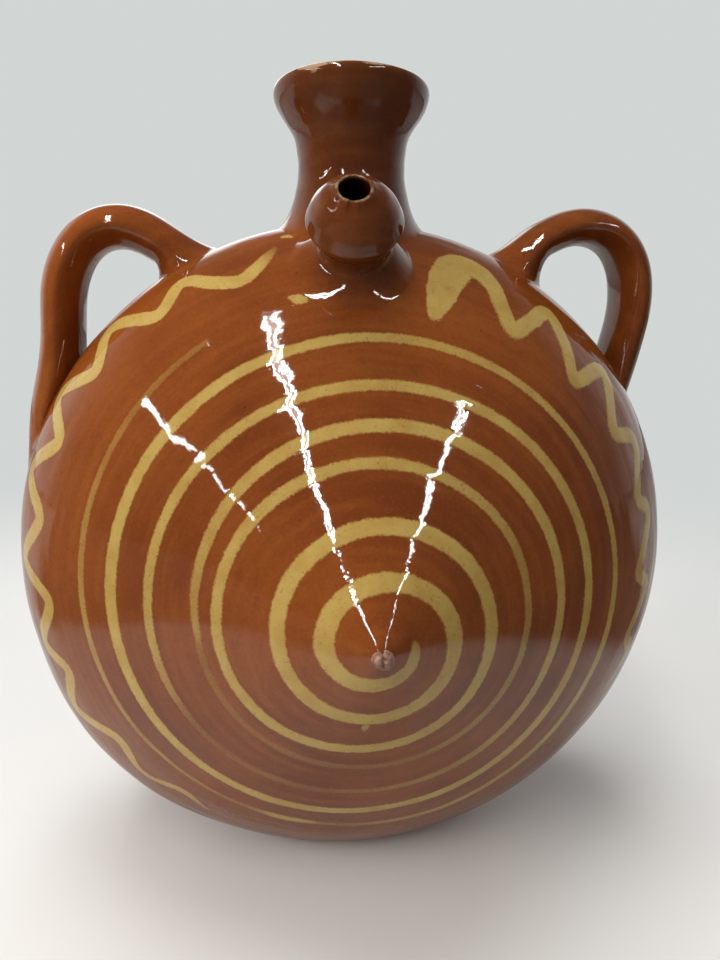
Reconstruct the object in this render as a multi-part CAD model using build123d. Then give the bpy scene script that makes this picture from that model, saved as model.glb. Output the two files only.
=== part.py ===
"""Glazed earthenware drinking jug that stands on the edge of its round, cone-fronted belly.

The origin is on the floor under the widest ring of the belly.
+X is to the jug's right side as its front is looked at, -Y is the way the cone points, +Z is up.
All lengths are millimetres and all angles are degrees.
"""
import math
import os

from build123d import *

# Belly
belly_radius = 84.0
foot_cut_depth = 3.0
cone_depth = 65.0
cone_half_angle = 61.3
straight_cone_radius = 42.0
back_depth = 38.0
back_flat_radius = 56.0
belly_wall = 4.5
foot_wall = 4.5

# Broken knob of clay that closes the cone
nub_radius = 2.1
nub_length = 1.7
nub_tip_radius = 1.2
nub_lobe_radius = 1.1
nub_lobe_offset = 1.3
nub_lobe_height = 1.2

# Neck
neck_waist_radius = 12.6
neck_waist_height = 12.0
neck_curve_radius = 21.3
neck_wall = 3.7
neck_throat_radius = 9.3
neck_flare_height = 26.4
lip_roll_radius = 2.6
neck_hole_radius = 9.3
neck_collar_height = 3.4
neck_collar_reach = 3.2
neck_collar_edge = 0.5

# Drinking spout
spout_setback = 19.9
spout_shift = -0.9
spout_rise = 37.0
spout_turn = -6.0
spout_length = 19.8
spout_stem_radius = 7.9
spout_stem_length = 4.5
spout_bulb_radius = 10.1
spout_bulb_height = 11.0
spout_tip_radius = 3.8
spout_hole_radius = 3.1
spout_hole_length = 2.6
spout_wall = 2.8
spout_channel_radius = 4.2
spout_collar_height = 3.0
spout_collar_reach = 4.2
spout_collar_edge = 0.5

# Handles
handle_width = 17.5
handle_thickness = 9.0
handle_setback = 4.0
left_handle_corner_shares = (
    (-0.417, 0.827), (-0.835, 1.106), (-0.843, 0.595), (-0.920, 0.357), (-0.920, 0.155),
)
left_handle_bends = (12.5, 40.0, 30.0)
right_handle_corner_shares = ((0.417, 0.780), (0.974, 1.281), (0.815, 0.357))
right_handle_bends = (14.0,)
root_reach = 10.0
root_spread = 4.0
root_swell = 1.8
root_edge = 0.4

# Slip decoration, trailed on the front of the belly before glazing
slip_thickness = 0.4
slip_clearance = 0.1
spiral_radius_shares = (
    0.092, 0.099, 0.140, 0.167, 0.211, 0.237, 0.259, 0.297, 0.328, 0.375, 0.426, 0.449, 0.455, 0.462,
    0.485, 0.542, 0.578, 0.600, 0.625, 0.647, 0.693, 0.720, 0.744, 0.775, 0.811, 0.830, 0.846, 0.885,
)
spiral_steps_a_quarter = 4
spiral_first_width = 3.6
spiral_last_width = 1.3
wave_width = 2.7
wave_end_width = 0.8
left_wave_place_shares = (
    (105, 0.925), (111, 0.876), (120, 0.942), (126, 0.905), (134, 0.970), (141, 0.914),
    (149, 0.975), (154, 0.901), (161, 0.967), (168, 0.893), (177, 0.951), (184, 0.863),
    (192, 0.917), (197, 0.858), (206, 0.912), (214, 0.829), (224, 0.863), (231, 0.805), (238, 0.837),
)
right_wave_place_shares = (
    (74, 0.892), (70, 0.927), (60, 0.810), (54, 0.917), (44, 0.822), (39, 0.914), (30, 0.837),
    (25, 0.899), (16, 0.835), (10, 0.883), (1, 0.824), (-5, 0.881), (-14, 0.831), (-19, 0.878),
    (-27, 0.838),
)
wave_end_share = 0.08
trail_stretch_limit = 1.6
blob_place_shares = (75, 0.808)
blob_width = 7.0
blob_length = 14.0
drop_place_shares = ((102, 0.927), (102, 1.090), (-95, 0.290))
drop_lengths = (4.6, 3.2, 2.6)
drop_widths = (3.0, 2.0, 1.6)

# Room by which cutting and trimming solids pass what they cut
overrun = 5.0

belly_centre_height = belly_radius - foot_cut_depth
belly_top = belly_centre_height + belly_radius
cone_tangent = math.tan(math.radians(cone_half_angle))
cone_sine = math.sin(math.radians(cone_half_angle))


def belly_solid(growth, blunt_radius):
    """Return the belly as a full body of revolution, grown outwards by a length."""
    radius = belly_radius + growth
    depth = cone_depth + growth / cone_sine
    back = back_depth + growth
    straight_radius = straight_cone_radius * radius / belly_radius
    blunt_y = blunt_radius / cone_tangent - depth
    straight_y = straight_radius / cone_tangent - depth
    corner_y = radius / cone_tangent - depth
    front_line = Polyline((0, blunt_y), (blunt_radius, blunt_y), (straight_radius, straight_y))
    front_curve = Bezier((straight_radius, straight_y), (radius, corner_y), (radius, 0))
    shoulder = EllipticalCenterArc(
        (back_flat_radius, 0), radius - back_flat_radius, back, start_angle=0, arc_size=90
    )
    back_line = Polyline((back_flat_radius, back), (0, back), (0, blunt_y))
    half = make_face([*front_line.edges(), front_curve.edge(), shoulder.edge(), *back_line.edges()])
    return Pos(0, 0, belly_centre_height) * revolve(half, Axis.Y)


def above(height):
    """Return a block that fills all the room above a height."""
    side = 2 * (belly_radius + cone_depth)
    return Pos(0, 0, height + side / 2) * Box(side, side, side)


def in_front(depth):
    """Return a block that fills all the room in front of a depth along Y."""
    side = 4 * (belly_radius + cone_depth)
    return Pos(0, depth - side / 2, 0) * Box(side, side, side)


def front_profile(radius):
    """Return the depth of the belly's front, and how steeply it opens, at a distance from its axis."""
    if radius <= straight_cone_radius:
        return radius / cone_tangent - cone_depth, math.radians(cone_half_angle)
    straight_y = straight_cone_radius / cone_tangent - cone_depth
    corner_y = belly_radius / cone_tangent - cone_depth
    rest = math.sqrt((belly_radius - radius) / (belly_radius - straight_cone_radius))
    depth = rest ** 2 * straight_y + 2 * rest * (1 - rest) * corner_y
    forward = rest * (corner_y - straight_y) - (1 - rest) * corner_y
    return depth, math.atan2(rest * (belly_radius - straight_cone_radius), forward)


def front_place(angle, radius, lift):
    """Return a point on the belly's front, lifted off it, from its angle and radius on the front view."""
    depth, opening = front_profile(radius)
    turn = math.radians(angle)
    lifted_radius = radius + lift * math.cos(opening)
    return Vector(
        lifted_radius * math.cos(turn),
        depth - lift * math.sin(opening),
        belly_centre_height + lifted_radius * math.sin(turn),
    )


def front_radius_at(depth):
    """Return the radius of the belly's curved front shoulder at a depth along Y."""
    straight_y = straight_cone_radius / cone_tangent - cone_depth
    corner_y = belly_radius / cone_tangent - cone_depth
    root = math.sqrt(corner_y ** 2 + (straight_y - 2 * corner_y) * depth)
    rest = depth / (corner_y - root)
    return belly_radius - (belly_radius - straight_cone_radius) * rest ** 2


def spout_plane():
    """Return the plane at the spout's foot, with its normal along the spout."""
    rise = math.radians(spout_rise)
    turn = math.radians(spout_turn)
    direction = Vector(
        math.cos(rise) * math.sin(turn), -math.cos(rise) * math.cos(turn), math.sin(rise)
    )
    foot_height = math.sqrt(front_radius_at(-spout_setback) ** 2 - spout_shift ** 2)
    foot = Vector(spout_shift, -spout_setback, belly_centre_height + foot_height)
    return Plane(origin=foot, x_dir=(1, 0, 0), z_dir=direction)


def revolve_on(plane, edges):
    """Turn a closed outline of radius and height about a plane's normal."""
    return plane.location * revolve(make_face(edges), Axis.Z)


def upright(radius, height):
    """Place an outline point given by its radius and its height."""
    return (radius, 0, height)


def neck_radius_at(height, wall):
    """Return the radius of the neck's concave side, less a wall, at a height over the belly."""
    rise = height - neck_waist_height
    arc_radius = neck_curve_radius + wall
    return neck_waist_radius + neck_curve_radius - math.sqrt(arc_radius ** 2 - rise ** 2)


def make_neck():
    """Make the thrown neck: a waisted tube with a rolled lip and a straight throat."""
    start = -2 * overrun
    lip_height = neck_flare_height
    outer_lip = neck_radius_at(lip_height, 0)
    inner_lip = neck_radius_at(lip_height, neck_wall)
    half_lip = (outer_lip - inner_lip) / 2
    roll_radius = max(lip_roll_radius, half_lip)
    lip_top = lip_height + roll_radius + math.sqrt(roll_radius ** 2 - half_lip ** 2)
    throat_half = math.sqrt(
        (neck_curve_radius + neck_wall) ** 2
        - (neck_waist_radius + neck_curve_radius - neck_throat_radius) ** 2
    )
    throat_top = neck_waist_height + throat_half
    flare_middle = (throat_top + lip_height) / 2
    foot_radius = neck_radius_at(neck_collar_height, 0)
    outline = [
        Line(upright(neck_throat_radius, start), upright(foot_radius, start)),
        Line(upright(foot_radius, start), upright(foot_radius, neck_collar_height)),
        ThreePointArc(
            upright(foot_radius, neck_collar_height),
            upright(neck_waist_radius, neck_waist_height),
            upright(outer_lip, lip_height),
        ),
        ThreePointArc(
            upright(outer_lip, lip_height),
            upright((outer_lip + inner_lip) / 2, lip_top),
            upright(inner_lip, lip_height),
        ),
        ThreePointArc(
            upright(inner_lip, lip_height),
            upright(neck_radius_at(flare_middle, neck_wall), flare_middle),
            upright(neck_throat_radius, throat_top),
        ),
        Line(upright(neck_throat_radius, throat_top), upright(neck_throat_radius, start)),
    ]
    return Pos(0, 0, belly_top) * revolve(make_face(outline), Axis.Z)


def make_collar(plane, inner_radius, height, reach, edge):
    """Make a ring of luting clay with a hollow outer side, before it is trimmed to the belly."""
    outline = [
        Line(upright(inner_radius, -2 * reach), upright(inner_radius, height)),
        Line(upright(inner_radius, height), upright(inner_radius + edge, height)),
        Bezier(
            upright(inner_radius + edge, height),
            upright(inner_radius + edge, 0),
            upright(inner_radius + reach, -reach / 2),
        ),
        Line(
            upright(inner_radius + reach, -reach / 2),
            upright(inner_radius + reach, -2 * reach),
        ),
        Line(upright(inner_radius + reach, -2 * reach), upright(inner_radius, -2 * reach)),
    ]
    return revolve_on(plane, outline)


def make_spout(plane):
    """Make the thrown spout: a short stem and a hollow onion-shaped bulb with a round hole."""
    start = -2 * overrun
    bore_start = spout_length - spout_hole_length
    inner_bulb = spout_bulb_radius - spout_wall
    outline = [
        Line(upright(spout_channel_radius, start), upright(spout_stem_radius, start)),
        Line(upright(spout_stem_radius, start), upright(spout_stem_radius, spout_stem_length)),
        Bezier(
            upright(spout_stem_radius, spout_stem_length),
            upright(spout_bulb_radius, (2 * spout_stem_length + spout_bulb_height) / 3),
            upright(spout_bulb_radius, spout_bulb_height),
        ),
        Bezier(
            upright(spout_bulb_radius, spout_bulb_height),
            upright(spout_bulb_radius, (spout_bulb_height + spout_length) / 2),
            upright(spout_tip_radius, spout_length),
        ),
        Line(upright(spout_tip_radius, spout_length), upright(spout_hole_radius, spout_length)),
        Line(upright(spout_hole_radius, spout_length), upright(spout_hole_radius, bore_start)),
        Bezier(
            upright(spout_hole_radius, bore_start),
            upright(inner_bulb, (spout_bulb_height + bore_start) / 2),
            upright(inner_bulb, spout_bulb_height),
        ),
        Bezier(
            upright(inner_bulb, spout_bulb_height),
            upright(inner_bulb, spout_stem_length + spout_wall),
            upright(spout_channel_radius, spout_stem_length),
        ),
        Line(
            upright(spout_channel_radius, spout_stem_length),
            upright(spout_channel_radius, start),
        ),
    ]
    return revolve_on(plane, outline)


def handle_path(corner_shares, bends):
    """Return a handle's centre line: straight runs joined by arcs, in an upright plane."""
    corners = [
        (x * belly_radius, handle_setback, belly_centre_height + z * belly_radius)
        for x, z in corner_shares
    ]
    return FilletPolyline(*corners, radius=bends)


def handle_section(place, direction, spread, swell):
    """Return the handle's oval section square to a direction, grown in width and in thickness."""
    plane = Plane(origin=place, x_dir=(0, 1, 0), z_dir=direction)
    return plane * Ellipse(handle_width / 2 + spread, handle_thickness / 2 + swell)


def make_handle(path):
    """Make a pulled strap handle along its path."""
    return sweep(handle_section(path @ 0, path % 0, 0, 0), path=path)


def surface_place(path, end):
    """Return the place where a handle's centre line comes out of the belly, and its direction out."""
    steps = 200
    for step in range(steps):
        share = step / steps if end == 0 else 1 - step / steps
        place = path @ share
        if math.hypot(place.X, place.Z - belly_centre_height) > belly_radius:
            direction = path % share
            return place, direction if end == 0 else -direction
    return path @ end, path % end


def make_roots(path):
    """Make the clay spread round a handle's two ends, before it is trimmed to handle and belly."""
    roots = []
    for end in (0, 1):
        place, direction = surface_place(path, end)
        sections = [
            handle_section(place - direction * root_reach, direction, root_edge, root_edge),
            handle_section(place, direction, root_spread, root_swell),
            handle_section(place + direction * root_reach, direction, root_edge, root_edge),
        ]
        roots.append(loft(sections, ruled=True))
    return roots


def trail_line(places):
    """Return a smooth flat line through places given by angle and share of the belly's radius."""
    points = []
    for angle, share in places:
        turn = math.radians(angle)
        points.append((share * belly_radius * math.cos(turn), share * belly_radius * math.sin(turn)))
    return Spline(*points)


def trail_edge(line, half_width, side, lift, steps):
    """Return the outer or inner edge of a trail of slip, lifted off the belly's front."""
    points = []
    shares = [step / steps for step in range(steps + 1)]
    for share in shares:
        place = line @ share
        radius = math.hypot(place.X, place.Y)
        opening_sine = math.sin(front_profile(radius)[1])
        climb = (line % share).dot(place / radius)
        run = math.sqrt(max(0, 1 - climb ** 2))
        steepness = math.hypot(climb / opening_sine, run)
        stretch = steepness / max(run, steepness / trail_stretch_limit)
        angle = math.degrees(math.atan2(place.Y, place.X))
        reach = half_width(share) * opening_sine * stretch
        points.append(front_place(angle, radius + side * reach, lift))
    return Edge.make_spline(points, parameters=shares)


def make_trail(places, half_width, steps):
    """Make a thin raised trail of slip that lies on the belly's front and always turns one way."""
    line = trail_line(places)
    top = slip_clearance + slip_thickness
    way = math.copysign(1, places[-1][0] - places[0][0])
    edges = [
        trail_edge(line, half_width, side, lift, steps)
        for side, lift in ((way, slip_clearance), (-way, slip_clearance), (-way, top), (way, top))
    ]
    sides = [Face.make_surface_from_curves(edges[turn - 1], edges[turn]) for turn in range(4)]
    caps = []
    for end in (0, 1):
        low = Line(edges[0] @ end, edges[1] @ end).edge()
        high = Line(edges[3] @ end, edges[2] @ end).edge()
        caps.append(Face.make_surface_from_curves(low, high))
    return Solid(Shell([*sides, *caps]))


def make_spiral():
    """Make the trailed spiral, which winds outwards from a fine point to below the spout."""
    places = []
    outer_share = front_radius_at(-spout_setback) / belly_radius
    quarters = len(spiral_radius_shares) - 1
    for step in range(spiral_steps_a_quarter * quarters + 1):
        quarter = min(step // spiral_steps_a_quarter, quarters - 1)
        passed = step / spiral_steps_a_quarter - quarter
        start, end = spiral_radius_shares[quarter:quarter + 2]
        places.append((-90 * (quarter + passed), outer_share * (start + (end - start) * passed)))

    def half_width(share):
        width = spiral_first_width + (spiral_last_width - spiral_first_width) * math.sqrt(share)
        lead_in = min(1, share * quarters)
        return (wave_end_width + (width - wave_end_width) * lead_in) / 2

    return make_trail(places, half_width, 2 * len(places))


def make_wave(places):
    """Make a trailed wave that starts and runs out thin."""
    def half_width(share):
        near_end = max(0, 1 - min(share, 1 - share) / wave_end_share)
        return (wave_width + (wave_end_width - wave_width) * near_end) / 2

    return make_trail(places, half_width, 8 * len(places))


def make_drop(angle, radius, width, length, outside):
    """Make one drop of slip, trimmed to the belly's outside."""
    base = front_place(angle, radius, -slip_thickness)
    top = front_place(angle, radius, slip_thickness)
    across = Vector(0, 1, 0).cross(top - base)
    plane = Plane(origin=base, x_dir=across, z_dir=top - base)
    return extrude(plane * Ellipse(width / 2, length / 2), amount=2 * slip_thickness) - outside


def make_nub():
    """Make the two-lobed knob of clay left where the cone was closed and pinched off."""
    seat = nub_radius / cone_tangent - cone_depth
    plane = Plane(origin=(0, seat, belly_centre_height), x_dir=(1, 0, 0), z_dir=(0, -1, 0))
    stump = plane * loft(
        [Circle(nub_radius), Pos(0, 0, nub_length) * Circle(nub_tip_radius)], ruled=True
    )
    side_lobe = plane * (Pos(nub_lobe_offset, 0, nub_lobe_height) * Sphere(nub_lobe_radius))
    top_lobe = plane * (Pos(-nub_lobe_offset / 2, nub_lobe_offset / 2, nub_length) * Sphere(nub_lobe_radius))
    knob = stump + side_lobe + top_lobe
    return knob & in_front(seat)


def save(name, *solids):
    """Write one named piece, made of one or more separate solids."""
    pieces = [piece for solid in solids for piece in solid.solids()]
    shape = pieces[0] if len(pieces) == 1 else Compound(children=pieces)
    shape.label = name
    export_step(shape, f"parts/{name}.step")


def main():
    os.makedirs("parts", exist_ok=True)
    outside = belly_solid(0, nub_radius)
    hollow = belly_solid(-belly_wall, belly_wall) & above(foot_wall)
    neck_hole = Pos(0, 0, belly_top) * Cylinder(neck_hole_radius, 8 * overrun)
    spout_base = spout_plane()
    spout_hole = spout_base.location * Cylinder(spout_channel_radius, 4 * overrun)
    wall = (outside & above(0)) - hollow - neck_hole - spout_hole

    back_disc = Plane.XZ.offset(-back_depth) * (
        Pos(0, belly_centre_height, 0) * extrude(Circle(back_flat_radius), amount=belly_wall)
    )
    save("belly_front", wall & in_front(0))
    save("belly_back", wall - in_front(0) - back_disc)
    save("belly_floor", back_disc)
    save("tip_nub", make_nub())

    neck = make_neck() - outside
    spout = make_spout(spout_base) - outside - neck
    neck_foot = Plane.XY.offset(belly_top)
    neck_foot_radius = neck_radius_at(neck_collar_height, 0)
    neck_collar = make_collar(
        neck_foot, neck_foot_radius, neck_collar_height, neck_collar_reach, neck_collar_edge
    )
    neck_collar = neck_collar - outside - neck - spout
    spout_collar = make_collar(
        spout_base, spout_stem_radius, spout_collar_height, spout_collar_reach, spout_collar_edge
    )
    spout_collar = spout_collar - outside - neck - neck_collar - spout
    save("neck", neck)
    save("neck_collar", neck_collar.solids().sort_by(SortBy.VOLUME)[-1])
    save("spout", spout)
    save("spout_collar", spout_collar.solids().sort_by(SortBy.VOLUME)[-1])

    sides = {
        "left": (left_handle_corner_shares, left_handle_bends),
        "right": (right_handle_corner_shares, right_handle_bends),
    }
    for side, (shares, bends) in sides.items():
        path = handle_path(shares, bends)
        strap = make_handle(path)
        roots = [root - outside - strap for root in make_roots(path)]
        save(f"{side}_handle", strap - outside)
        save(f"{side}_handle_roots", *roots)

    save("slip_spiral", make_spiral())
    save("slip_wave_left", make_wave(left_wave_place_shares))
    blob_angle, blob_share = blob_place_shares
    blob = make_drop(blob_angle, blob_share * belly_radius, blob_width, blob_length, outside)
    save("slip_wave_right", make_wave(right_wave_place_shares), blob)
    spout_radius = front_radius_at(-spout_setback)
    drops = [
        make_drop(angle, share * spout_radius, width, length, outside)
        for (angle, share), width, length in zip(drop_place_shares, drop_widths, drop_lengths)
    ]
    save("slip_drops", *drops)


main()
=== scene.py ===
import math

import bmesh
import bpy
import numpy as np
from mathutils import Matrix, Vector, kdtree


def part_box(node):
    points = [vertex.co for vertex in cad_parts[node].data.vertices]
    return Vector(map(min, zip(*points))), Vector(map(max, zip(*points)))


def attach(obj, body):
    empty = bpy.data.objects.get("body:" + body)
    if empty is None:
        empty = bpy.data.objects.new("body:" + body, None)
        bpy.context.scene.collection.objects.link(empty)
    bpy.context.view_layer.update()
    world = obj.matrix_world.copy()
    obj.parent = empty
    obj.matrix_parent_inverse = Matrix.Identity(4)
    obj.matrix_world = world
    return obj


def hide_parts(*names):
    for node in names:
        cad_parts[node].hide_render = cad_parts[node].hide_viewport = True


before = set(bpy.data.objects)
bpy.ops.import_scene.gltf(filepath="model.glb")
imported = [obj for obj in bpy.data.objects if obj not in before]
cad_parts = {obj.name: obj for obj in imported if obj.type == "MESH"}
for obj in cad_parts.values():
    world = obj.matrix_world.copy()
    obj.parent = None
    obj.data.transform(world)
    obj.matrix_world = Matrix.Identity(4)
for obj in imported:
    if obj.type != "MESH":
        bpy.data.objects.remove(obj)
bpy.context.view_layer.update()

# Sizes are in millimetres and degrees, in the frame of the CAD model. Those of
# materials and lamps are in metres, in the same frame.
MM = 0.001

# Belly: a surface of revolution about a level axis that runs front to back.
BELLY_RADIUS = 84.0
AXIS_HEIGHT = 81.0
CONE_DEPTH = 65.0
CONE_SLOPE = math.tan(math.radians(61.3))
STRAIGHT_RADIUS = 42.0
BACK_DEPTH = 38.0
BACK_FLAT_RADIUS = 56.0
WALL = 4.5

# Openings in the belly.
NECK_HOLE_RADIUS = 9.3
SPOUT_HOLE_RADIUS = 4.2
SPOUT_BASE = np.array([-0.9, -19.9, 154.6])
SPOUT_AXIS = np.array([-0.0835, -0.7943, 0.6018])
SPOUT_AXIS = SPOUT_AXIS / np.linalg.norm(SPOUT_AXIS)

# What is luted to the belly starts this far under its skin.
SUNK = 0.12


# ---- smooth random functions and lines ----

NOISE_ROWS = 512


def noise_at(x, y, around, seed):
    """Smooth noise from -1 to 1 on a grid that repeats every `around` cells in x."""
    table = np.random.RandomState(seed).uniform(-1.0, 1.0, (around, NOISE_ROWS))
    x, y = np.broadcast_arrays(np.asarray(x, float), np.asarray(y, float))
    left, low = np.floor(x).astype(int), np.floor(y).astype(int)
    fx, fy = x - left, y - low
    fx, fy = fx * fx * (3 - 2 * fx), fy * fy * (3 - 2 * fy)
    a, b, c, d = left % around, (left + 1) % around, low % NOISE_ROWS, (low + 1) % NOISE_ROWS
    bottom = table[a, c] * (1 - fx) + table[b, c] * fx
    top = table[a, d] * (1 - fx) + table[b, d] * fx
    return bottom * (1 - fy) + top * fy


def uneven(place, waves):
    """A factor near 1: each wave has a size, a rate and a phase."""
    return 1 + sum(size * np.sin(place * rate + phase) for size, rate, phase in waves)


def bulge(place, middle, reach):
    """1 at the middle, falling off smoothly on both sides."""
    return np.exp(-((place - middle) / reach) ** 2)


def ramp(x, low, high):
    """0 below low, 1 above high, smooth between."""
    t = np.clip((np.asarray(x, float) - low) / (high - low), 0.0, 1.0)
    return t * t * (3 - 2 * t)


def window(x, low, high, edge):
    """1 between low and high, 0 outside them, with smooth edges inside."""
    return ramp(x, low, low + edge) * (1 - ramp(x, high - edge, high))


def catmull(points, per_span):
    """A smooth line through the rows of points, with per_span samples in each span."""
    points = np.asarray(points, float)
    ends = np.vstack([2 * points[0] - points[1], points, 2 * points[-1] - points[-2]])
    t = np.linspace(0, 1, per_span, endpoint=False)[:, None]
    out = []
    for p0, p1, p2, p3 in zip(ends, ends[1:], ends[2:], ends[3:]):
        out.append(0.5 * (2 * p1 + (p2 - p0) * t + (2 * p0 - 5 * p1 + 4 * p2 - p3) * t ** 2
                          + (3 * p1 - p0 - 3 * p2 + p3) * t ** 3))
    return np.vstack(out + [points[-1:]])


def run_along(line):
    """Length along a line up to each of its rows."""
    return np.concatenate([[0], np.cumsum(np.hypot(*np.diff(line, axis=0).T))])


def spread(line, count, endpoint=True):
    """The line with count evenly spread rows."""
    run = run_along(line)
    want = np.linspace(0, run[-1], count, endpoint=endpoint)
    return np.stack([np.interp(want, run, line[:, 0]), np.interp(want, run, line[:, 1])], -1)


def hermite(start, start_way, end, end_way, rows):
    """Rows of a smooth surface that leaves start and reaches end along the two ways."""
    t = np.linspace(0, 1, rows, endpoint=False)[:, None, None]
    return ((2 * t ** 3 - 3 * t ** 2 + 1) * start + (t ** 3 - 2 * t ** 2 + t) * start_way
            + (3 * t ** 2 - 2 * t ** 3) * end + (t ** 3 - t ** 2) * end_way)


def unit(ways):
    """The rows, each scaled to a length of 1."""
    return ways / np.linalg.norm(ways, axis=1)[:, None]


def full_turn(count):
    """Evenly spread angles of a full turn."""
    return np.arange(count) * 360.0 / count


# ---- the belly's surface ----

OUTLINE_SAMPLES = 600


def belly_outline():
    """Depth in front of the widest ring, radius and length along the outline, tip to back."""
    t = np.linspace(0, 1, OUTLINE_SAMPLES)
    cone_end = CONE_DEPTH - STRAIGHT_RADIUS / CONE_SLOPE
    cone = np.stack([CONE_DEPTH + (cone_end - CONE_DEPTH) * t, STRAIGHT_RADIUS * t], 1)
    corner = np.array([CONE_DEPTH - BELLY_RADIUS / CONE_SLOPE, BELLY_RADIUS])
    a, b = t[:, None], 1 - t[:, None]
    shoulder = b * b * cone[-1] + 2 * b * a * corner + a * a * np.array([0, BELLY_RADIUS])
    turn = t * math.pi / 2
    back = np.stack([-BACK_DEPTH * np.sin(turn),
                     BACK_FLAT_RADIUS + (BELLY_RADIUS - BACK_FLAT_RADIUS) * np.cos(turn)], 1)
    flat = np.stack([np.full_like(t, -BACK_DEPTH), BACK_FLAT_RADIUS * (1 - t)], 1)
    line = np.vstack([cone, shoulder[1:], back[1:], flat[1:]])
    return line[:, 0], line[:, 1], run_along(line)


DEPTHS, RADII, LENGTHS = belly_outline()
SHOULDER = float(LENGTHS[np.argmax(RADII >= BELLY_RADIUS - 1e-9)])
TOTAL_LENGTH = float(LENGTHS[-1])

NORMAL_REACH = 0.8

# Unevenness of the clay: height, bumps around, length of a bump, seed.
THROWING_RINGS = [(0.038, 3, 3.1, 11), (0.018, 5, 1.5, 12), (0.120, 4, 11.0, 13)]
RIPPLES = [(0.055, 44, 2.6, 14), (0.024, 90, 1.6, 16), (0.090, 26, 7.0, 15)]
LEAST_RIPPLE = 0.05
TIP_SMOOTH_LENGTH = 6.0
BACK_EVENNESS = 0.35
BACK_STARTS = (-8.0, 6.0)

# The skin stays inside the CAD belly, more so along its widest ring.
SKIN_INSET = 0.25
WIDEST_INSET, WIDEST_REACH, WIDEST_EDGE = 0.175, 30.0, 25.0

# A slump low on the left: height, and from, to and edge of its angles and lengths.
SLUMP, SLUMP_ANGLES, SLUMP_LENGTHS = 1.2, (192, 250, 24), (78, 140, 24)

# The flat foot turns up into the belly over this height.
SOFT_FOOT = 1.2


def outline_at(s):
    """Depth, radius and outward direction (depth part, radius part) of the plain outline."""
    depth, radius = np.interp(s, LENGTHS, DEPTHS), np.interp(s, LENGTHS, RADII)
    low = np.clip(s - NORMAL_REACH, 0, TOTAL_LENGTH)
    high = np.clip(s + NORMAL_REACH, 0, TOTAL_LENGTH)
    along = np.interp(high, LENGTHS, DEPTHS) - np.interp(low, LENGTHS, DEPTHS)
    out = np.interp(high, LENGTHS, RADII) - np.interp(low, LENGTHS, RADII)
    size = np.hypot(along, out)
    return depth, radius, out / size, -along / size


def relief(theta, s):
    """How far the thrown surface stands off the plain outline."""
    def bumps(table):
        return sum(height * noise_at(theta / 360.0 * around, s / length, around, seed)
                   for height, around, length, seed in table)

    share = np.clip(np.interp(s, LENGTHS, RADII) / BELLY_RADIUS, LEAST_RIPPLE, 1.0)
    front = 1 - ramp(s, SHOULDER + BACK_STARTS[0], SHOULDER + BACK_STARTS[1])
    hold = ramp(s, 0, TIP_SMOOTH_LENGTH) * (BACK_EVENNESS + (1 - BACK_EVENNESS) * front)
    widest = window(s, SHOULDER - WIDEST_REACH, SHOULDER + WIDEST_REACH, WIDEST_EDGE)
    slump = SLUMP * window(theta % 360, *SLUMP_ANGLES) * window(s, *SLUMP_LENGTHS)
    uneven_clay = (bumps(THROWING_RINGS) + share * bumps(RIPPLES)) * hold
    return uneven_clay - SKIN_INSET + slump - WIDEST_INSET * widest


def on_skin(theta, s, lift=0.0):
    """Points on the thrown surface, or lifted off it."""
    theta, s = np.broadcast_arrays(np.asarray(theta, float), np.asarray(s, float))
    depth, radius, out_depth, out_radius = outline_at(s)
    away = relief(theta, s) + lift
    r, d = radius + out_radius * away, depth + out_depth * away
    a = np.radians(theta)
    z = AXIS_HEIGHT + r * np.sin(a)
    z = np.where(z < SOFT_FOOT, SOFT_FOOT * np.exp(z / SOFT_FOOT - 1), z)
    return np.stack([r * np.cos(a), -d, z], -1)


def skin_place(points):
    """Angle and length along the outline of the surface places nearest to the points."""
    x, y, z = points[..., 0], points[..., 1], points[..., 2] - AXIS_HEIGHT
    theta = np.degrees(np.arctan2(z, x))
    r = np.hypot(x, z)
    near = (RADII[None] - r.reshape(-1, 1)) ** 2 + (DEPTHS[None] + y.reshape(-1, 1)) ** 2
    return theta, LENGTHS[np.argmin(near, axis=1)].reshape(r.shape)


# ---- meshes ----

def new_object(name, data):
    """An object of the scene that shows the data."""
    obj = bpy.data.objects.new(name, data)
    bpy.context.scene.collection.objects.link(obj)
    return obj


def add_object(name, points, faces, materials, body="root", values=None, face_slots=None):
    """Add a mesh in its place, with named values per point, and let it ride on a body."""
    mesh = bpy.data.meshes.new(name)
    mesh.from_pydata((np.asarray(points).reshape(-1, 3) * MM).tolist(), [], faces)
    mesh.update()
    for key, numbers in (values or {}).items():
        layer = mesh.attributes.new(key, "FLOAT", "POINT")
        layer.data.foreach_set("value", np.asarray(numbers, float).reshape(-1))
    mesh.polygons.foreach_set("use_smooth", [True] * len(mesh.polygons))
    for material in materials:
        mesh.materials.append(material)
    if face_slots:
        mesh.polygons.foreach_set("material_index", face_slots)
    obj = new_object(name, mesh)
    if body:
        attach(obj, body)
    return obj


def grid_faces(rows, columns, wrap_rows=False, start=0):
    """Quads of a grid of points whose columns go all the way round."""
    r = np.arange(rows if wrap_rows else rows - 1)
    r, c = np.meshgrid(r, np.arange(columns), indexing="ij")
    r2, c2 = (r + 1) % rows, (c + 1) % columns
    quads = np.stack([r * columns + c, r * columns + c2, r2 * columns + c2, r2 * columns + c], -1)
    return (quads.reshape(-1, 4) + start).tolist()


def fan_faces(centre, first, columns, turned=False):
    """Triangles that close a ring of points with one point in its middle."""
    ring = [(first + c, first + (c + 1) % columns) for c in range(columns)]
    return [(centre, b, a) if turned else (centre, a, b) for a, b in ring]


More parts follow.
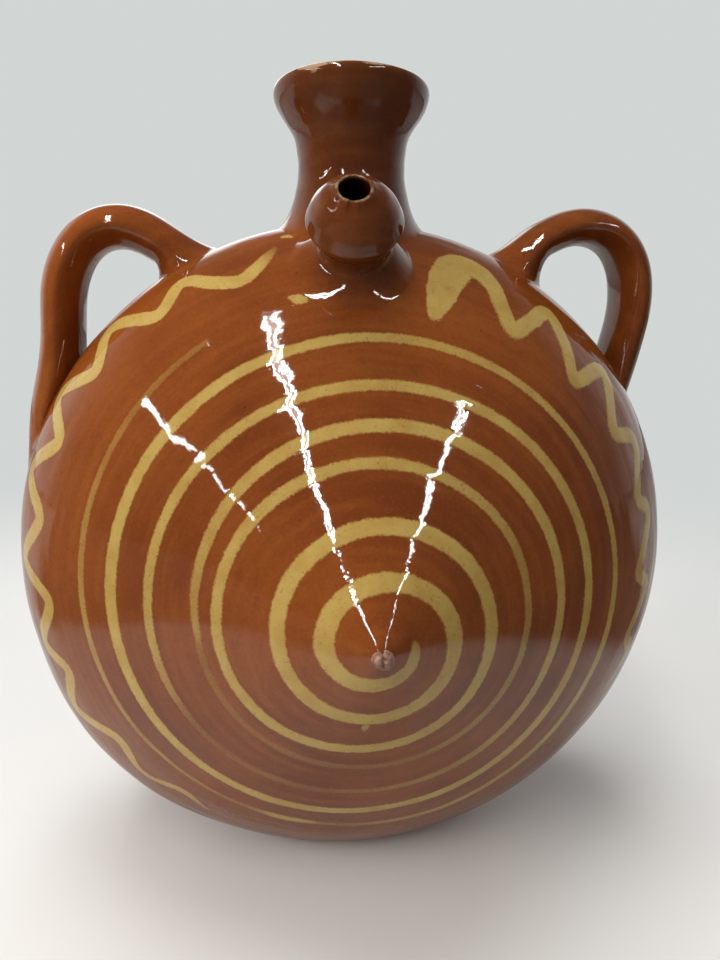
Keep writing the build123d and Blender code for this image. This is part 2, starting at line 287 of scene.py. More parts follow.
def fix_normals(obj):
    """Turn all faces of a closed mesh outwards."""
    work = bmesh.new()
    work.from_mesh(obj.data)
    bmesh.ops.recalc_face_normals(work, faces=work.faces)
    work.to_mesh(obj.data)
    work.free()


# ---- materials ----

class Nodes:
    """Short calls for building a material's or the world's node tree."""

    def __init__(self, owner):
        owner.use_nodes = True
        self.tree = owner.node_tree
        self.tree.nodes.clear()

    def add(self, kind, settings=None, **inputs):
        node = self.tree.nodes.new("ShaderNode" + kind)
        for key, value in (settings or {}).items():
            setattr(node, key, value)
        for key, value in inputs.items():
            socket = node.inputs[int(key) if key.isdigit() else key.replace("_", " ")]
            if isinstance(value, bpy.types.NodeSocket):
                self.tree.links.new(value, socket)
            else:
                socket.default_value = value
        return node

    def math(self, operation, *values):
        inputs = {str(k): value for k, value in enumerate(values)}
        return self.add("Math", {"operation": operation}, **inputs).outputs[0]

    def plus(self, a, b):
        return self.math("ADD", a, b)

    def minus(self, a, b):
        return self.math("SUBTRACT", a, b)

    def times(self, a, b):
        return self.math("MULTIPLY", a, b)

    def length(self, a, b):
        return self.math("SQRT", self.plus(self.times(a, a), self.times(b, b)))

    def mix(self, factor, a, b, blend="MIX"):
        return self.add("Mix", {"data_type": "RGBA", "blend_type": blend},
                        **{"0": factor, "6": a, "7": b}).outputs[2]

    def steps(self, value, low, high):
        """0 at low, 1 at high, smooth between; low may be the larger."""
        return self.add("MapRange", {"interpolation_type": "SMOOTHSTEP"},
                        **{"0": value, "1": low, "2": high}).outputs[0]

    def noise(self, vector, scale, detail=3.0, roughness=0.55):
        return self.add("TexNoise", {"noise_dimensions": "3D"}, Vector=vector, Scale=scale,
                        Detail=detail, Roughness=roughness).outputs[0]

    def jitter(self, value, noise, amount):
        """The value, moved both ways by up to half the amount."""
        return self.plus(value, self.times(self.minus(noise, 0.5), amount))

    def point_value(self, name):
        return self.add("Attribute", {"attribute_name": name}).outputs["Fac"]

    def object_place(self):
        """The place on the object, and its separate parts."""
        place = self.add("TexCoord").outputs["Object"]
        return place, self.add("SeparateXYZ", Vector=place).outputs

    def finish(self, **inputs):
        shader = self.add("BsdfPrincipled", **inputs)
        self.add("OutputMaterial", Surface=shader.outputs[0])


GLAZE_DEEP = (0.172, 0.038, 0.008, 1)
GLAZE_MID = (0.285, 0.072, 0.012, 1)
GLAZE_LIGHT = (0.380, 0.112, 0.020, 1)
GLAZE_SPECK = (0.035, 0.010, 0.004, 1)
SLIP_PALE = (0.575, 0.392, 0.108, 1)
SLIP_DEEP = (0.450, 0.245, 0.050, 1)
WORN_LIP = (0.50, 0.32, 0.20, 1)
WORN_SPOUT = (0.33, 0.25, 0.11, 1)
CLAY_PALE, CLAY_DARK = (0.42, 0.25, 0.18, 1), (0.22, 0.11, 0.07, 1)
INSIDE_PALE, INSIDE_DARK = (0.34, 0.14, 0.07, 1), (0.20, 0.07, 0.03, 1)

# Tones over the deep glaze: in rings, scale, detail, roughness, start, end, strength, colour.
GLAZE_TONES = [
    (False, 24.0, 4.0, 0.55, 0.30, 0.70, 1.00, GLAZE_MID),
    (True, 300.0, 4.0, 0.60, 0.40, 0.75, 0.40, GLAZE_LIGHT),
    (False, 420.0, 4.0, 0.65, 0.45, 0.75, 0.30, GLAZE_DEEP),
    (False, 1700.0, 3.0, 0.70, 0.50, 0.72, 0.38, GLAZE_DEEP),
    (False, 1700.0, 3.0, 0.70, 0.50, 0.28, 0.22, GLAZE_LIGHT)]
# Heights of the glaze: in rings, noise scale and roughness, share.
GLAZE_HEIGHTS = [(True, 700.0, 0.5, 0.5), (False, 900.0, 0.5, 0.10), (False, 260.0, 0.4, 0.6)]


def ring_coordinates(n):
    """The place, and the same about the belly's axis, for tones in rings."""
    place, (x, y, z) = n.object_place()
    z = n.minus(z, AXIS_HEIGHT * MM)
    angle = n.math("ARCTAN2", z, x)
    rings = n.add("CombineXYZ", X=n.length(x, z), Y=n.times(angle, 0.0035), Z=y)
    return place, rings.outputs[0]


def glaze_colour(n, place, rings, with_painted_shading):
    """The honey glaze, with painted shading where a thrown or pulled piece carries it."""
    tone = GLAZE_DEEP
    for in_rings, scale, detail, roughness, start, full, strength, colour in GLAZE_TONES:
        cloud = n.noise(rings if in_rings else place, scale, detail, roughness)
        tone = n.mix(n.times(n.steps(cloud, start, full), strength), tone, colour)
    cells = n.add("TexVoronoi", {"feature": "F1"}, Vector=place, Scale=300.0).outputs[0]
    speck = n.minus(1.0, n.steps(cells, 0.05, 0.11))
    area = n.steps(n.noise(place, 60.0, 2.0), 0.55, 0.62)
    tone = n.mix(n.times(speck, n.times(area, 0.6)), tone, GLAZE_SPECK)
    if not with_painted_shading:
        return tone
    # Painted shading changes green less, and blue still less, than red.
    painted_shading = n.point_value("painted_shading")
    painted_shading_colour = n.add("CombineXYZ", X=painted_shading, Y=n.math("POWER", painted_shading, 0.92),
                 Z=n.math("POWER", painted_shading, 0.60)).outputs[0]
    return n.mix(1.0, tone, painted_shading_colour, "MULTIPLY")


def glaze_bump(n, place, rings):
    """The normal of a glaze with fine throwing waves, pits and orange peel."""
    height = 0.0
    for in_rings, scale, roughness, amount in GLAZE_HEIGHTS:
        noise = n.noise(rings if in_rings else place, scale, 2.0, roughness)
        height = n.plus(height, n.times(noise, amount))
    return n.add("Bump", Strength=0.10, Distance=0.0006, Height=height).outputs[0]


def slip_over(n, place, colour):
    """The colour with slip on it: grainy at the edges and patchy where it is thin."""
    grain = n.noise(place, 2000.0, 3.0, 0.75)
    broad = n.noise(place, 300.0, 2.0)
    edge = n.jitter(n.jitter(n.point_value("slip"), grain, 1.3), broad, 0.4)
    patchy = n.jitter(n.point_value("strength"), grain, 0.6)
    patchy = n.math("MINIMUM", n.math("MAXIMUM", patchy, 0.0), 1.0)
    mottle = n.times(n.steps(n.noise(place, 150.0, 3.0, 0.6), 0.35, 0.75), 0.55)
    dots = n.steps(n.noise(place, 1300.0, 2.0, 0.6), 0.62, 0.74)
    paint = n.mix(n.times(dots, 0.55), n.mix(mottle, SLIP_PALE, SLIP_DEEP), GLAZE_MID)
    return n.mix(n.times(n.steps(edge, 0.20, 0.85), patchy), colour, paint)


def glaze_material(name, slip=False, worn_colour=None, with_painted_shading=False):
    """Glaze over clay, if wanted with slip under it, worn through at an edge, or with painted
    shading from its mesh.
    """
    material = bpy.data.materials.new(name)
    n = Nodes(material)
    place, rings = ring_coordinates(n)
    colour = glaze_colour(n, place, rings, with_painted_shading)
    if slip:
        colour = slip_over(n, place, colour)
    if worn_colour:
        flecks = n.noise(place, 320.0, 3.0, 0.7)
        bare = n.steps(n.jitter(n.point_value("worn"), flecks, 1.0), 0.50, 0.80)
        colour = n.mix(bare, colour, worn_colour)
    rough = n.plus(0.02, n.times(n.noise(place, 90.0, 2.0), 0.04))
    n.finish(Base_Color=colour, Roughness=rough, IOR=1.5, Normal=glaze_bump(n, place, rings))
    return material


def clay_material(name, colour, dark):
    """Bare fired clay."""
    material = bpy.data.materials.new(name)
    n = Nodes(material)
    place, _ = n.object_place()
    mottle = n.steps(n.noise(place, 700.0, 4.0, 0.7), 0.35, 0.65)
    bump = n.add("Bump", Strength=0.5, Distance=0.0003, Height=n.noise(place, 1800.0, 3.0, 0.7))
    n.finish(Base_Color=n.mix(mottle, dark, colour), Roughness=0.75, Normal=bump.outputs[0])
    return material


glaze = glaze_material("honey_glaze")
# These three carry painted shading: a darker neck, spout and right handle, and a lighter left
# handle.
lip_glaze = glaze_material("honey_glaze_lip", worn_colour=WORN_LIP, with_painted_shading=True)
spout_glaze = glaze_material("honey_glaze_spout", worn_colour=WORN_SPOUT, with_painted_shading=True)
handle_glaze = glaze_material("honey_glaze_handles", with_painted_shading=True)
slip_glaze = glaze_material("slip_under_glaze", slip=True)
bare_clay = clay_material("bare_clay", CLAY_PALE, CLAY_DARK)
inner_clay = clay_material("inner_clay", INSIDE_PALE, INSIDE_DARK)


# ---- belly ----

SKIN_COLUMNS, SKIN_STEP, BACK_STEP = 512, 0.85, 1.4
# Where the fine rows end behind the widest ring, and the last row before the middle.
FINE_BEHIND, BACK_MIDDLE = 20.0, 2.0
INNER_COLUMNS, INNER_ROWS, INNER_END = 128, 90, 6.0
# Places on the axis that close the skins: outer tip and back, inner tip and back.
MIDDLES = [0.3 - CONE_DEPTH, BACK_DEPTH - 0.3, 9.0 - CONE_DEPTH, BACK_DEPTH - 5.0]
NECK_CUT_HEIGHT = 165.0
CUTTER_LENGTH, CUTTER_SIDES = 40.0, 64


def skin_rows():
    """Lengths along the outline of the skin's rows, closer together in front."""
    fine_end = SHOULDER + FINE_BEHIND
    front = np.linspace(SKIN_STEP, fine_end, int(fine_end / SKIN_STEP))
    back = np.linspace(fine_end, TOTAL_LENGTH - BACK_MIDDLE,
                       int((TOTAL_LENGTH - BACK_MIDDLE - fine_end) / BACK_STEP))
    return np.concatenate([front, back[1:]])


def cutter(middle, axis, radius):
    """A cylinder that cuts a hole."""
    turn = Vector(axis).to_track_quat("Z", "Y").to_matrix().to_4x4()
    place = Matrix.Translation(Vector(middle) * MM) @ turn
    mesh = bpy.data.meshes.new("cutter")
    work = bmesh.new()
    bmesh.ops.create_cone(work, cap_ends=True, segments=CUTTER_SIDES, radius1=radius * MM,
                          radius2=radius * MM, depth=CUTTER_LENGTH * MM, matrix=place)
    work.to_mesh(mesh)
    work.free()
    return new_object("cutter", mesh)


def cut_holes(obj, cutters):
    """Cut the holes for good and remove their cutters."""
    for tool in cutters:
        cut = obj.modifiers.new("hole", "BOOLEAN")
        cut.operation, cut.solver, cut.object = "DIFFERENCE", "MANIFOLD", tool
    whole = obj.evaluated_get(bpy.context.evaluated_depsgraph_get())
    mesh = bpy.data.meshes.new_from_object(whole)
    obj.modifiers.clear()
    obj.data = mesh
    for tool in cutters:
        bpy.data.objects.remove(tool)


def make_belly():
    """The hollow belly: two skins with the holes under neck and spout."""
    rows = skin_rows()
    outer = on_skin(full_turn(SKIN_COLUMNS), rows[:, None]).reshape(-1, 3)
    inner_rows = np.linspace(INNER_END, TOTAL_LENGTH - INNER_END, INNER_ROWS)
    inner = on_skin(full_turn(INNER_COLUMNS), inner_rows[:, None], -WALL).reshape(-1, 3)
    inner[:, 2] = np.maximum(inner[:, 2], WALL)
    points = np.vstack([outer, inner, [(0, y, AXIS_HEIGHT) for y in MIDDLES]])
    first_inner, first_middle = len(outer), len(outer) + len(inner)
    last_row, last_inner_row = first_inner - SKIN_COLUMNS, first_middle - INNER_COLUMNS
    outside = grid_faces(len(rows), SKIN_COLUMNS)
    outside += fan_faces(first_middle, 0, SKIN_COLUMNS, True)
    outside += fan_faces(first_middle + 1, last_row, SKIN_COLUMNS)
    inside = [tuple(reversed(face))
              for face in grid_faces(INNER_ROWS, INNER_COLUMNS, start=first_inner)]
    inside += fan_faces(first_middle + 2, first_inner, INNER_COLUMNS)
    inside += fan_faces(first_middle + 3, last_inner_row, INNER_COLUMNS, True)
    slots = [0] * len(outside) + [1] * len(inside)
    belly = add_object("belly_skin", points, outside + inside, [glaze, inner_clay], None,
                       face_slots=slots)
    cut_holes(belly, [cutter((0, 0, NECK_CUT_HEIGHT), (0, 0, 1), NECK_HOLE_RADIUS),
                      cutter(SPOUT_BASE, SPOUT_AXIS, SPOUT_HOLE_RADIUS)])
    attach(belly, "root")
    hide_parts("belly_front", "belly_back", "belly_floor")


# ---- neck ----

# Samples in each span of a thrown outline.
PROFILE_SAMPLES = 6
NECK_COLUMNS = 160
NECK_FOOT_RADIUS = 18.4
# Painted shade: the neck's glaze above its foot is darkened to this share.
NECK_PAINTED_SHADE = 0.58
# Radius and height, from the foot's curve up over the lip and down the throat.
NECK_OUTSIDE = [
    (13.6, 170.6), (13.05, 173), (12.75, 175.5), (12.72, 178.3), (13.1, 181), (13.8, 183.8),
    (15, 186.2), (16.4, 188.5), (17.7, 191), (18.25, 193), (18.1, 194.4), (17.2, 194.95),
    (16.2, 194.5), (15.2, 193), (13.6, 190.2), (11.9, 187), (10.4, 182.5), (9.6, 177), (9.35, 170),
    (9.3, 162)]
NECK_RING_HEIGHT, NECK_RING_STEP, NECK_DENT_STEP, NECK_DENTS_ROUND = 0.07, 2.6, 3.0, 16
THROAT_LIMIT = 12.4  # narrower rows have no dents
# The lip leans down to the back: lean, mean drop, and heights between which they grow.
LIP_LEAN, LIP_DROP, LIP_LEAN_HEIGHTS = 1.0, 0.95, (182, 194)
NECK_BLEND_ROWS, NECK_FOOT_PULL, NECK_RISE_PULL, NECK_RISE_LEAN = 21, 7.0, 9.0, -0.22
# Samples of the outline: worn crest and spot of the lip, and the throat with its painted shade.
LIP_CREST, LIP_SPOT = (56, 72, 4), (48, 66, 8)
LIP_SPOT_ANGLE, LIP_SPOT_REACH = 239.0, 0.17
THROAT, THROAT_PAINTED_SHADE = (78, 90), 0.5
CREST_WEAR, CREST_PATCHINESS, CREST_PATCHES, SPOT_WEAR = 0.52, 0.4, 23, 0.75


def belly_height(place):
    """Height of the plain belly above the places (x, y), on its top side."""
    radius = np.interp(-place[:, 1], DEPTHS[::-1], RADII[::-1])
    return AXIS_HEIGHT + np.sqrt(np.maximum(radius ** 2 - place[:, 0] ** 2, 0))


def make_neck():
    """The flared neck with its rolled lip and open throat."""
    angle = np.radians(full_turn(NECK_COLUMNS))
    around = angle / (2 * math.pi)
    way = np.stack([np.cos(angle), np.sin(angle)], -1)
    radii, heights = catmull(NECK_OUTSIDE, PROFILE_SAMPLES).T[:, :, None]
    dents = (noise_at(0, heights / NECK_RING_STEP, 2, 31)
             + noise_at(around * NECK_DENTS_ROUND, heights / NECK_DENT_STEP,
                        NECK_DENTS_ROUND, 35))
    radius = radii + NECK_RING_HEIGHT * dents * (radii > THROAT_LIMIT)
    radius = radius * uneven(angle, [(0.006, 2, 0.6), (0.004, 3, 2.0)])
    lean = (LIP_LEAN * np.sin(angle) + LIP_DROP) * ramp(heights, *LIP_LEAN_HEIGHTS)
    upper = np.stack([radius * way[:, 0], radius * way[:, 1], heights - lean], -1)

    foot_radius = NECK_FOOT_RADIUS * uneven(angle, [(0.03, 2, 1.0), (0.03, 5, 0.0)])[:, None]
    foot_place = way * foot_radius
    foot_height = belly_height(foot_place)
    foot = on_skin(*skin_place(np.column_stack([foot_place, foot_height])), -SUNK)
    slope = -unit(np.column_stack([way, foot_height - belly_height(way * (foot_radius - 1))]))
    rise = np.column_stack([NECK_RISE_LEAN * way, np.ones(NECK_COLUMNS)])
    blend = hermite(foot, slope * NECK_FOOT_PULL, upper[0], rise * NECK_RISE_PULL,
                    NECK_BLEND_ROWS)
    rows = np.vstack([blend, upper])

    row = (np.arange(len(rows)) - len(blend))[:, None]
    patches = 1 + CREST_PATCHINESS * noise_at(around * CREST_PATCHES, 0, CREST_PATCHES, 33)
    spot = bulge(angle, math.radians(LIP_SPOT_ANGLE), LIP_SPOT_REACH)
    worn = (CREST_WEAR * window(row, *LIP_CREST) * patches
            + SPOT_WEAR * window(row, *LIP_SPOT) * spot)
    # Painted shade: darker above the foot, and darker still down the throat.
    painted_shading = 1 - (1 - NECK_PAINTED_SHADE) * ramp(row + len(blend), 2, len(blend) - 2)
    painted_shading = painted_shading * (1 - THROAT_PAINTED_SHADE * ramp(row, *THROAT)) * np.ones(NECK_COLUMNS)
    obj = add_object("neck_thrown", rows, grid_faces(len(rows), NECK_COLUMNS, wrap_rows=True),
                     [lip_glaze], "root", {"worn": worn, "painted_shading": painted_shading})
    fix_normals(obj)
    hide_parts("neck", "neck_collar")


# ---- spout ----

SPOUT_COLUMNS = 128
SPOUT_FOOT_RADIUS = 14.5
# Painted shade: the spout's glaze above its foot is darkened to this share.
SPOUT_PAINTED_SHADE = 0.68
# Place along the axis and radius: stem, bulb, hole's edge and channel.
SPOUT_OUTSIDE = [
    (3.4, 8.05), (4.4, 7.8), (5.8, 7.85), (7.2, 8.2), (8.4, 8.85), (9.6, 9.6), (10.6, 10.1),
    (11.2, 10.2), (12.1, 9.95), (13.6, 9.35), (15.4, 8.3), (17.1, 6.85), (18.6, 5), (19.5, 3.95),
    (19.75, 3.5), (19.5, 3.15), (18.6, 2.95), (16.5, 3.1), (12, 4), (4, 4.2), (-1, 4.2)]
SPOUT_RING_HEIGHT, SPOUT_RING_STEP = 0.05, 1.6
# The hole's edge is ragged, most where it is chipped: bumps around, height, seed.
RAGGED_EDGE = [(17, 0.22, 41), (37, 0.20, 42)]
EDGE_STARTS, LEAST_RAGGED, CHIP_ANGLE, CHIP_REACH = (17.5, 19.5), 0.25, 285.0, 0.9
# The foot spreads most to the lower left. Angles run from the left over the back.
FOOT_SPREAD, FOOT_SPREAD_ANGLE = 0.10, 320.0
SPOUT_BLEND_ROWS, SPOUT_FOOT_PULL, SPOUT_RISE_PULL, SPOUT_RISE_SPREAD = 19, 3.2, 5.5, 6.0
# Samples where the channel starts, the painted shade in it, and the worn edge.
CHANNEL, CHANNEL_PAINTED_SHADE, WORN_REACH, SPOUT_WEAR = (86, 93), 0.6, (19.25, 19.65), 0.60


def drop_on_belly(points, axis):
    """Where lines through the points along the axis meet the plain belly."""
    low, high = np.full(len(points), -30.0), np.full(len(points), 12.0)
    for _ in range(40):
        middle = (low + high) / 2
        place = points + middle[:, None] * axis
        radius = np.interp(-place[:, 1], DEPTHS[::-1], RADII[::-1], left=0, right=0)
        outside = np.hypot(place[:, 0], place[:, 2] - AXIS_HEIGHT) > radius
        high, low = np.where(outside, middle, high), np.where(outside, low, middle)
    return points + low[:, None] * axis


def make_spout():
    """The onion-shaped spout with its stem, ragged hole and channel."""
    side = np.cross(SPOUT_AXIS, [0, 0, 1.0])
    side /= np.linalg.norm(side)
    angle = np.radians(full_turn(SPOUT_COLUMNS))
    around = angle / (2 * math.pi)
    way = np.cos(angle)[:, None] * side + np.sin(angle)[:, None] * np.cross(side, SPOUT_AXIS)
    along, radii = catmull(SPOUT_OUTSIDE, PROFILE_SAMPLES).T
    chipped = LEAST_RAGGED + bulge(angle, math.radians(CHIP_ANGLE), CHIP_REACH)
    ragged = sum(height * noise_at(around * bumps, 0, bumps, seed)
                 for bumps, height, seed in RAGGED_EDGE)
    ragged = ragged * chipped * ramp(along, *EDGE_STARTS)[:, None]
    rings = SPOUT_RING_HEIGHT * noise_at(0, along / SPOUT_RING_STEP, 2, 43)
    wobble = uneven(angle, [(0.012, 2, 0.3), (0.006, 3, 0.0)])
    radius = (radii + rings)[:, None] * wobble + ragged / 2
    upper = (SPOUT_BASE + radius[..., None] * way
             + (along[:, None] + ragged)[..., None] * SPOUT_AXIS)

    spread_most = np.cos(angle - math.radians(FOOT_SPREAD_ANGLE))
    foot_radius = SPOUT_FOOT_RADIUS * (1 + FOOT_SPREAD * spread_most)[:, None]
    flat_foot = drop_on_belly(SPOUT_BASE + way * foot_radius, SPOUT_AXIS)
    foot = on_skin(*skin_place(flat_foot), -SUNK)
    slope = unit(drop_on_belly(SPOUT_BASE + way * (foot_radius - 1.5), SPOUT_AXIS) - flat_foot)
    rise = SPOUT_AXIS * SPOUT_RISE_PULL - SPOUT_RISE_SPREAD * way
    blend = hermite(foot, slope * SPOUT_FOOT_PULL, upper[0], rise, SPOUT_BLEND_ROWS)
    rows = np.vstack([blend, upper])

    row = np.arange(len(rows)) - len(blend)
    inner = ramp(row, *CHANNEL)
    reach = np.concatenate([np.zeros(len(blend)), along])
    worn = SPOUT_WEAR * ramp(reach, *WORN_REACH) * (1 - inner)
    # Painted shade: darker above the foot, and darker still in the channel.
    painted_shading = 1 - (1 - SPOUT_PAINTED_SHADE) * ramp(row, 1 - len(blend), 2) - CHANNEL_PAINTED_SHADE * inner
    obj = add_object("spout_thrown", rows, grid_faces(len(rows), SPOUT_COLUMNS, wrap_rows=True),
                     [spout_glaze], "root", {"worn": np.repeat(worn, SPOUT_COLUMNS),
                                             "painted_shading": np.repeat(painted_shading, SPOUT_COLUMNS)})
    fix_normals(obj)
    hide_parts("spout", "spout_collar")


# ---- handles ----

HANDLE_COLUMNS, HANDLE_ROWS, HANDLE_SMOOTHING = 64, 110, 30
HANDLE_BLEND_ROWS, HANDLE_PULL, HANDLE_ROOT_DEPTH = 17, 0.9, 3.0
HANDLE_SETBACK = 4.0
STRAP_HALF_SIZE = np.array([5.0, 8.75])
# Across the strap: outward offset, then offset to the back, with a soft ridge in front.
HANDLE_SECTION = [
    (5, 0), (4.7, 4.3), (3, 7.4), (0.4, 8.75), (-2.6, 7.7), (-4.6, 4.4), (-5, 0.5), (-4.6, -3.2),
    (-3.6, -5.2), (-2.3, -7.2), (-1.1, -8.5), (-0.3, -8.75), (0.8, -8.45), (2.5, -7.2),
    (4.1, -4.6), (4.8, -2.2)]
# Share of a foot's size from which its slope is taken.
FOOT_SHARE = 0.93
# Middle lines of the straps, as (x, z) from the lower to the upper end.
LEFT_PATH = [
    (-74, 122), (-72, 130), (-71, 137), (-70.6, 143), (-69.9, 149), (-67.8, 155), (-64.3, 159.9),
    (-59.8, 162.7), (-54.6, 163.3), (-49.7, 161.9), (-45.4, 159.3)]
RIGHT_PATH = [
    (70, 124), (71.6, 130.5), (73.1, 137), (74.3, 143), (74.5, 149), (73.4, 155.2), (70.4, 160.6),
    (65.8, 164), (60.2, 165.2), (54.6, 164.2), (49.6, 161.8)]
# Each end: angles on the belly under the outer and inner face, and half its width.
LEFT_ENDS = [(173, 146, 10.5), (111, 125, 11.5)]
RIGHT_ENDS = [(21, 44, 10.5), (67.5, 53, 11.5)]


def handle_ring():
    """The strap's section as a closed ring of evenly spread points."""
    samples = 20
    closed = catmull(HANDLE_SECTION + HANDLE_SECTION[:3], samples)
    once = closed[samples:samples * (len(HANDLE_SECTION) + 1) + 1]
    return spread(once, HANDLE_COLUMNS, endpoint=False)


def handle_foot(ring, end, toward, way):
    """Rows of a strap's flared end, from the belly to the strap's first row."""
    outer, inner, half_width = end
    middle = np.array([(outer + inner) / 2, SHOULDER + HANDLE_SETBACK])
    flat = ring / STRAP_HALF_SIZE
    theta = middle[0] - flat[:, 0] * (inner - outer) / 2
    s = middle[1] + flat[:, 1] * half_width
    foot = on_skin(theta, s, -SUNK)
    near = on_skin(middle[0] + (theta - middle[0]) * FOOT_SHARE,
                   middle[1] + (s - middle[1]) * FOOT_SHARE)
    pull = HANDLE_PULL * np.linalg.norm(toward - foot, axis=1)[:, None]
    slope = unit(near - on_skin(theta, s))
    rows = hermite(foot, slope * pull, toward, way * pull, HANDLE_BLEND_ROWS)
    return rows, on_skin(middle[0], middle[1], -HANDLE_ROOT_DEPTH)


def make_handle(name, path, thickness, ends, mirror, painted_shading, replaced):
    """A strap along a path, whose two ends flare into the belly."""
    ring = handle_ring()
    line = spread(catmull(path, 20), HANDLE_ROWS)
    for _ in range(HANDLE_SMOOTHING):
        line[1:-1] = line[1:-1] / 2 + (line[:-2] + line[2:]) / 4
    ways = unit(np.gradient(line, axis=0))
    outward = np.stack([-ways[:, 1], ways[:, 0]], -1) * mirror
    share = np.linspace(0, 1, HANDLE_ROWS)
    thick = thickness * uneven(share, [(0.02, 7, 1 + mirror), (0.012, 17, 0)])
    wide = uneven(share, [(0.02, 6, mirror)])
    offset = ring[None] * np.stack([thick, wide], -1)[:, None]
    x = line[:, :1] + outward[:, :1] * offset[..., 0]
    z = line[:, 1:] + outward[:, 1:] * offset[..., 0]
    sweep = np.stack([x, HANDLE_SETBACK + offset[..., 1], z], -1)

    ahead = np.insert(ways, 1, 0, axis=1)
    first, first_root = handle_foot(ring, ends[0], sweep[0], ahead[0])
    last, last_root = handle_foot(ring, ends[1], sweep[-1], -ahead[-1])
    rows = np.vstack([first, sweep, last[::-1]])
    count = len(rows)
    points = np.vstack([rows.reshape(-1, 3), first_root, last_root])
    faces = grid_faces(count, HANDLE_COLUMNS)
    faces += fan_faces(count * HANDLE_COLUMNS, 0, HANDLE_COLUMNS, True)
    faces += fan_faces(count * HANDLE_COLUMNS + 1, (count - 1) * HANDLE_COLUMNS, HANDLE_COLUMNS)
    # Painted shading over the strap, by the given factor, fading out towards both feet.
    from_end = np.minimum(np.arange(count), np.arange(count)[::-1])
    painted_shading_rows = 1 - (1 - painted_shading) * ramp(from_end, 2, HANDLE_BLEND_ROWS + 2)
    obj = add_object(name, points, faces, [handle_glaze], "root",
                     {"painted_shading": np.concatenate([np.repeat(painted_shading_rows, HANDLE_COLUMNS), [1, 1]])})
    fix_normals(obj)
    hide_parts(*replaced)


# ---- knob of bare clay on the tip ----

# Lumps (rate and size) on two lobes, and the valley between them, deeper on top.
LUMPS = [(3.1, 0.10), (6.3, 0.06), (13.0, 0.03)]
LOBE_SWELL, VALLEY_DEPTH, NOTCH_DEPTH, NUB_FIT = 0.16, 0.22, 0.34, 0.995


def make_nub():
    """The broken knob, fitted into the CAD knob's box."""
    low, high = (np.array(corner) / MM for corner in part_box("tip_nub"))
    work = bmesh.new()
    bmesh.ops.create_icosphere(work, subdivisions=5, radius=1.0)
    points = np.array([v.co[:] for v in work.verts])
    faces = [[v.index for v in f.verts] for f in work.faces]
    work.free()
    x, y, z = points.T
    lobes = 1 + LOBE_SWELL * np.cos(np.arctan2(z, x) * 2 + 0.5)
    lumps = sum(size * (np.sin(x * rate + rate) * np.sin(z * rate * 1.3 + 1)
                        + np.sin(y * rate * 1.1 + 2 * rate)) for rate, size in LUMPS)
    valley = bulge(x + z * 0.15, 0.05, 0.20)
    notch = valley * (VALLEY_DEPTH * ramp(-y, 0, 0.4) + NOTCH_DEPTH * ramp(z, 0.1, 0.7))
    grown = points * (lobes + lumps - notch)[:, None]
    grown = grown / np.abs(grown).max(axis=0)
    points = (low + high) / 2 + grown * (high - low) / 2 * NUB_FIT
    obj = add_object("tip_nub_broken", points, faces, [bare_clay])
    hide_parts("tip_nub")


# ---- slip trails ----

# A trail is a low crown on the belly, with a margin that falls under the skin.
TRAIL_LIFT, TRAIL_HEIGHT, TRAIL_MARGIN, MARGIN_DEPTH = 0.02, 0.03, 1.3, 0.035
SPIRAL_DEPTH, PATCH_DEPTH = 0.22, 0.28
SOFT_EDGE, SPIRAL_STEP = 0.9, 0.9
# The spiral: angle, length along the cone, width and how strongly the slip covers.
SPIRAL = [
    (16, 7.7, 0.4, 0.4), (8, 7.8, 1.5, 0.8), (0, 7.8, 2.3, 0.9), (-20, 7.9, 3, 1),
    (-90, 8.3, 4.2, 1), (-160, 11, 4.1, 1), (-180, 11.8, 4.5, 1), (-270, 14, 3.9, 1),
    (-360, 17.7, 3.9, 1), (-450, 19.9, 3.7, 1), (-540, 21.8, 3.5, 1), (-630, 24.9, 3.5, 1),
    (-720, 27.5, 3.3, 1), (-810, 31.5, 3.1, 1), (-860, 34.2, 2.9, 1), (-900, 35.7, 2.5, 0.95),
    (-990, 37.6, 2.5, 0.9), (-1080, 38.2, 2, 0.62), (-1140, 38.9, 2, 0.48),
    (-1160, 39.2, 1.9, 0.25), (-1245, 40.4, 1.7, 0.22), (-1262, 40.9, 1.9, 0.6),
    (-1320, 44, 2.9, 0.95), (-1350, 45.5, 2.9, 1), (-1410, 47.6, 2.9, 1), (-1440, 48.5, 2.7, 0.95),
    (-1480, 49.4, 2.4, 0.8), (-1520, 50.2, 2, 0.4), (-1540, 50.6, 1.8, 0.2),
    (-1585, 51.7, 1.8, 0.22), (-1620, 52.6, 2.3, 0.85), (-1710, 54.3, 2.4, 0.95),
    (-1760, 56.5, 2.6, 1), (-1800, 58.2, 2.8, 1), (-1890, 60.6, 2.9, 1), (-1980, 62.6, 3.1, 1),
    (-2020, 63.8, 2.9, 1), (-2060, 65, 2.4, 0.95), (-2100, 66.4, 2.1, 0.85), (-2140, 67.9, 2, 0.8),
    (-2180, 69.1, 2.3, 1), (-2235, 70, 2, 0.8), (-2256, 69.8, 1.4, 0.35), (-2264, 69.3, 2.3, 0.9),
    (-2270, 69.2, 2.3, 0.9), (-2279, 69.2, 1.3, 0.35), (-2310, 70.4, 1.5, 0.5),
    (-2340, 71.7, 1.8, 0.62), (-2360, 72.5, 1.7, 0.42), (-2400, 75, 1.4, 0.25)]
# The spiral's trembling: size, length along the trail and seed.
WIDTH_TREMBLE, PLACE_TREMBLE, COVER_TREMBLE = (0.04, 7.0, 61), (0.08, 11.0, 62), (0.06, 6.0, 63)
EDGE_TREMBLE, EDGE_TREMBLE_STEP = 0.06, 0.9
